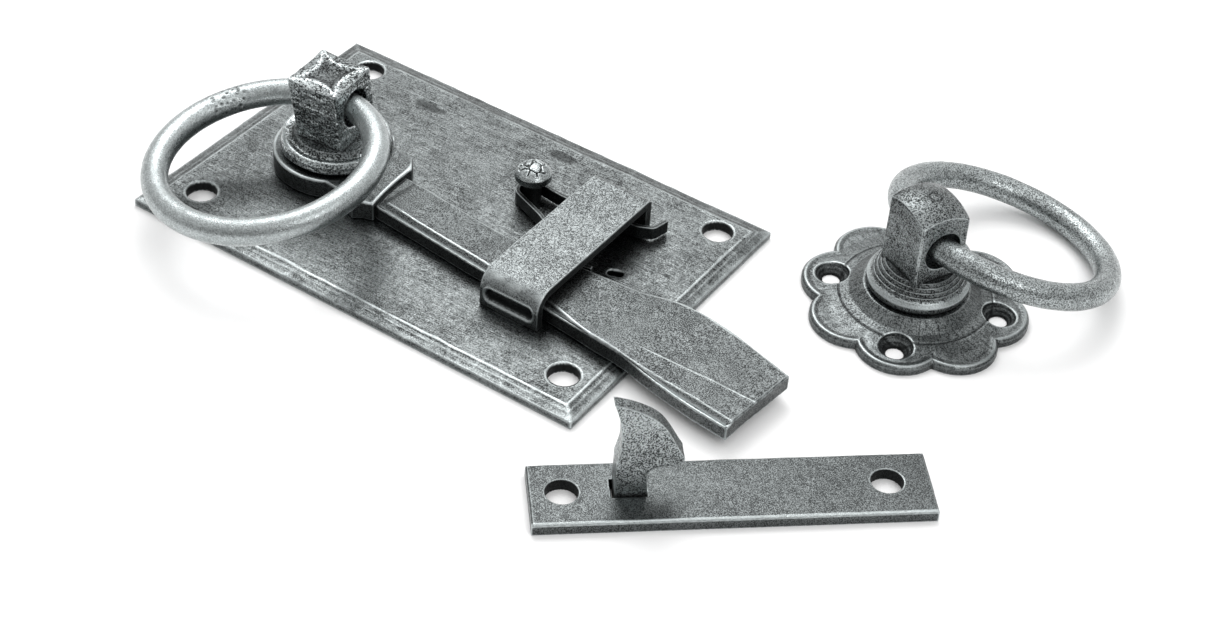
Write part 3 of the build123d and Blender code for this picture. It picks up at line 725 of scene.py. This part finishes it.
def build_pieces():
    plan = [
        ("backplate", "base", "plate_pewter", PLATE, 0.58, 1, plate_marks),
        ("bar_keep", "base", "forged_pewter", KEEP, 0.32, 2, keep_marks),
        ("spring_post", "base", "boss_pewter", HEAD, 0.16, 2, post_marks),
        ("bar_hub", "latch", "forged_pewter", HUB, 0.30, 2, hub_marks),
        ("latch_bar", "latch", "forged_pewter", FORGED, 0.36, 1, bar_marks),
        ("inside_boss", "latch", "boss_pewter", BOSS, 0.25, 1, inside_boss_marks),
        ("inside_washer", "latch", "plain_steel", STEEL, 0.3, 0, plain_marks),
        ("inside_ring", "inside_handle", "ring_pewter", RING_IN, 0.36, 2, inside_ring_marks),
        ("rose_plate", "rose", "plate_pewter", ROSE, 0.29, 3, rose_marks),
        ("outside_boss", "outside_turner", "boss_pewter", BOSS_FINE, 0.25, 1, outside_boss_marks),
        ("outside_washer", "outside_turner", "plain_steel", STEEL, 0.3, 0, plain_marks),
        ("outside_ring", "outside_handle", "ring_pewter", RING_OUT, 0.36, 2, outside_ring_marks),
        ("catch_plate", "catch", "plate_pewter", PLATE_CATCH, 0.34, 1, catch_marks),
        ("catch_hook", "catch", "forged_pewter", HOOK, 0.22, 2, hook_marks),
    ]
    for node, body, slot_name, material, cell, rounds, marks in plan:
        obj, soil_and_painted_light = work(node, cell, rounds, marks)
        finish_piece(obj, node, body, material, soil_and_painted_light)


def build_spring():
    obj, soil_and_painted_light = work("hairpin_spring", 0.2, 1, plain_marks)
    finish_piece(obj, "hairpin_spring", None, SPRING, soil_and_painted_light)
    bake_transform(obj)


# ------------------------------------------------------------------ stage and camera
def soft_light(name, place, size, power, aim):
    data = bpy.data.lights.new(name, "AREA")
    data.shape = "RECTANGLE"
    data.size, data.size_y = size
    data.energy = power
    lamp = bpy.data.objects.new(name, data)
    lamp.location = place
    lamp.rotation_euler = (Vector(aim) - Vector(place)).to_track_quat("-Z", "Y").to_euler()
    bpy.context.scene.collection.objects.link(lamp)


def build_floor():
    mesh = bpy.data.meshes.new("floor")
    corners = [(sx * FLOOR_SIZE, sy * FLOOR_SIZE, 0) for sx, sy in ((-1, -1), (1, -1), (1, 1), (-1, 1))]
    mesh.from_pydata(corners, [], [(0, 1, 2, 3)])
    floor = bpy.data.objects.new("floor", mesh)
    bpy.context.scene.collection.objects.link(floor)
    material, _, shader = node_tree("pale_floor")
    shader.inputs["Base Color"].default_value = (FLOOR_WHITE, FLOOR_WHITE, FLOOR_WHITE, 1)
    shader.inputs["Roughness"].default_value = 0.9
    shader.inputs["Specular IOR Level"].default_value = 0.1
    mesh.materials.append(material)


def build_light():
    """A white sky that is brighter on one side, and two soft lamps."""
    world = bpy.data.worlds.new("studio")
    bpy.context.scene.world = world
    world.use_nodes = True
    tree = world.node_tree
    back = tree.nodes["Background"]
    sky = tree.nodes.new("ShaderNodeTexCoord").outputs["Generated"]
    toward = tree.nodes.new("ShaderNodeVectorMath")
    toward.operation = "DOT_PRODUCT"
    toward.inputs[1].default_value = Vector(SKY_SIDE).normalized()
    tree.links.new(sky, toward.inputs[0])
    glow = mapped(tree, toward.outputs["Value"], -0.1, 0.95, SKY_DIM, SKY_BRIGHT)
    tree.links.new(glow, back.inputs[1])
    back.inputs[0].default_value = (1, 1, 1, 1)
    soft_light("key", (-0.35, 0.45, 0.9), (0.7, 0.7), 6.0, LIGHT_AIM)
    soft_light("fill", (0.75, -0.25, 0.7), (0.5, 0.5), 2.0, LIGHT_AIM)
    bpy.context.scene.view_settings.view_transform = "Standard"


def build_camera():
    azimuth, elevation, roll = (math.radians(v) for v in CAMERA_TURN)
    right = Vector((math.cos(azimuth), math.sin(azimuth), 0))
    back = Vector((math.sin(azimuth) * math.cos(elevation),
                   -math.cos(azimuth) * math.cos(elevation), math.sin(elevation)))
    up = back.cross(right)
    camera_x = math.cos(roll) * right + math.sin(roll) * up
    camera_y = math.cos(roll) * up - math.sin(roll) * right
    data = bpy.data.cameras.new("camera")
    data.sensor_width = 36.0
    data.sensor_fit = "HORIZONTAL"
    data.lens = CAMERA_LENS
    data.clip_start = 0.01
    camera = bpy.data.objects.new("camera", data)
    turn = Matrix((camera_x, camera_y, back)).transposed().to_4x4()
    camera.matrix_world = Matrix.Translation(CAMERA_TARGET + back * CAMERA_DISTANCE) @ turn
    bpy.context.scene.collection.objects.link(camera)
    bpy.context.scene.camera = camera


build_pieces()
build_spring()
build_floor()
build_light()
build_camera()

bpy.context.view_layer.update()
